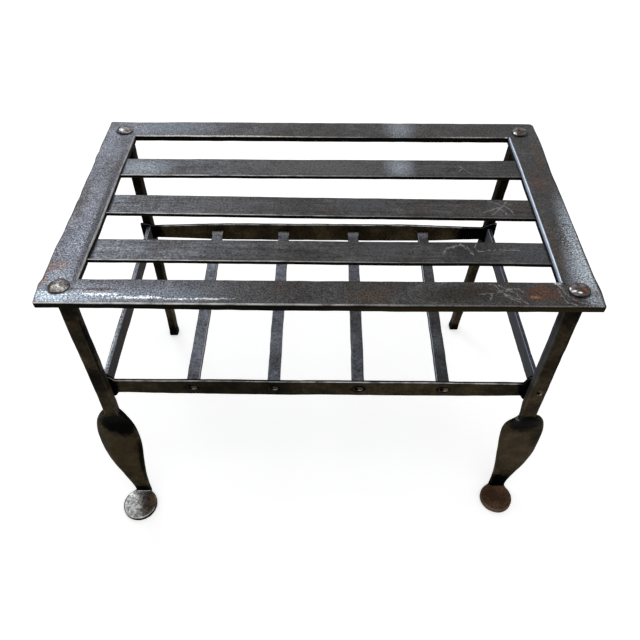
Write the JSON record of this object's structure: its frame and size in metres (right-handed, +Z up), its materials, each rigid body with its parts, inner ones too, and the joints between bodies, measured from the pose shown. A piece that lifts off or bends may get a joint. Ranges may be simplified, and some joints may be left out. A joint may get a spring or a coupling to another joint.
{
  "type": "fireplace trivet",
  "caption": "Hand-forged iron fireplace trivet: a slatted rectangular top on leaf-shaped front legs with round feet, with a barred shelf below.",
  "frame": {"origin": "on the floor, under the middle of the whole stand", "axes": "+X along the width of the top, +Y from the front legs to the back legs, +Z up"},
  "size_m": [0.476, 0.309, 0.3283],
  "materials": {
    "bright_worn_iron": "forged iron worn to a dull grey sheen, with fine pits and rust stains",
    "brown_black_iron": "forged iron under an old brown-black fire skin",
    "dark_shelf_iron": "forged iron, dark blue-grey, with fine pits"
  },
  "bodies": {
    "root": {"frame_front_bar": "bright_worn_iron", "frame_back_bar": "bright_worn_iron", "frame_left_bar": "bright_worn_iron", "frame_right_bar": "bright_worn_iron", "slat_front": "bright_worn_iron", "slat_middle": "bright_worn_iron", "slat_back": "bright_worn_iron", "leg_front_left": "brown_black_iron", "leg_front_right": "brown_black_iron", "leg_back_left": "brown_black_iron", "leg_back_right": "brown_black_iron", "shelf_front_strip": "brown_black_iron", "shelf_back_strip": "brown_black_iron", "shelf_left_strip": "dark_shelf_iron", "shelf_right_strip": "dark_shelf_iron", "shelf_crossbar_1": "dark_shelf_iron", "shelf_crossbar_2": "dark_shelf_iron", "shelf_crossbar_3": "dark_shelf_iron", "shelf_crossbar_4": "dark_shelf_iron"}
  },
  "joints": []
}
